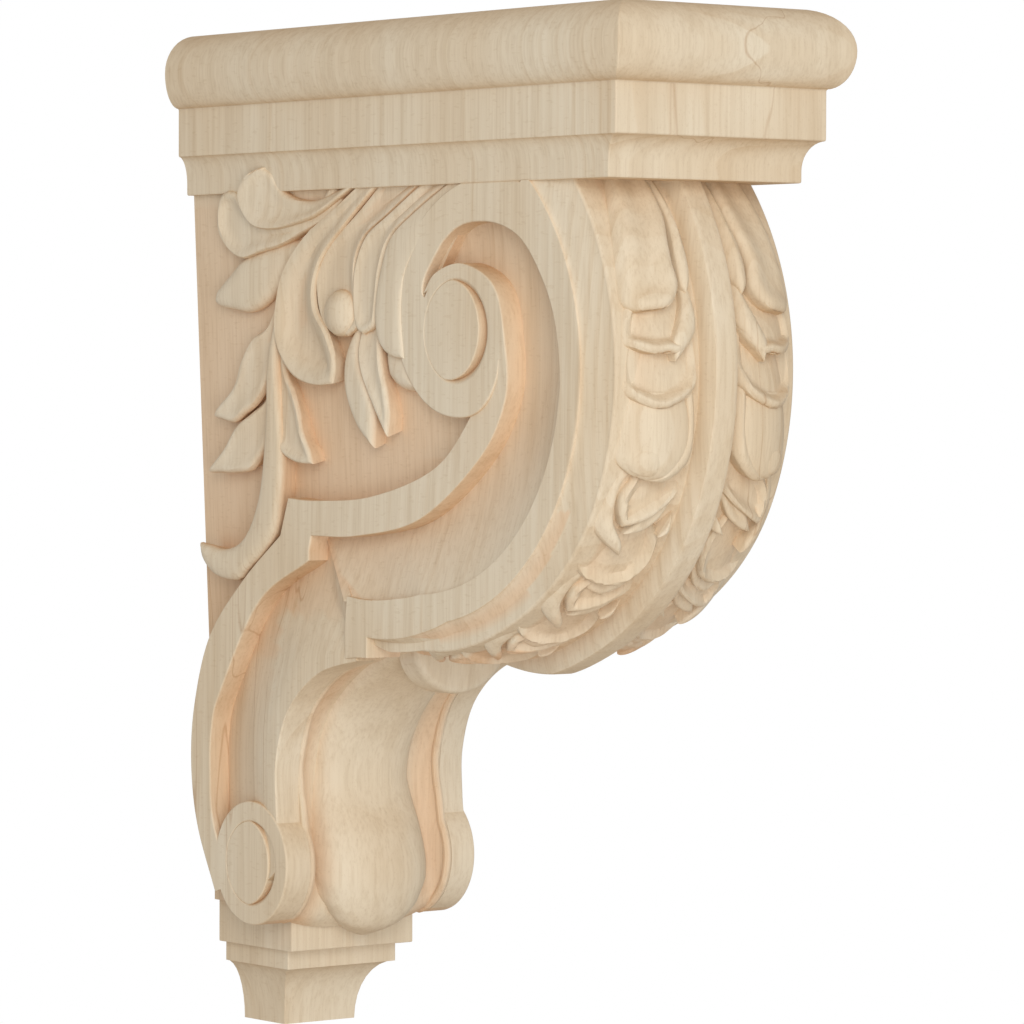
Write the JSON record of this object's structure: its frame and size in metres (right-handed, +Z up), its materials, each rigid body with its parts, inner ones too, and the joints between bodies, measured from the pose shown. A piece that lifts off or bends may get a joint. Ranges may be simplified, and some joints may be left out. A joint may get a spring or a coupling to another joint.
{
  "type": "carved corbel bracket",
  "caption": "Wooden wall corbel with a moulded cap, scrolled sides, acanthus leaves and a drop foot, to carry a shelf or mantel.",
  "frame": {"origin": "middle of the flat wall face, on the corbel's centre line", "axes": "+Y points into the wall, -Y to the front, +Z up, X across the corbel"},
  "size_m": [0.1024, 0.2567, 0.3556],
  "materials": {
    "maple": "bare sanded hardwood, unfinished"
  },
  "bodies": {
    "root": {"corbel": "maple"}
  },
  "joints": []
}
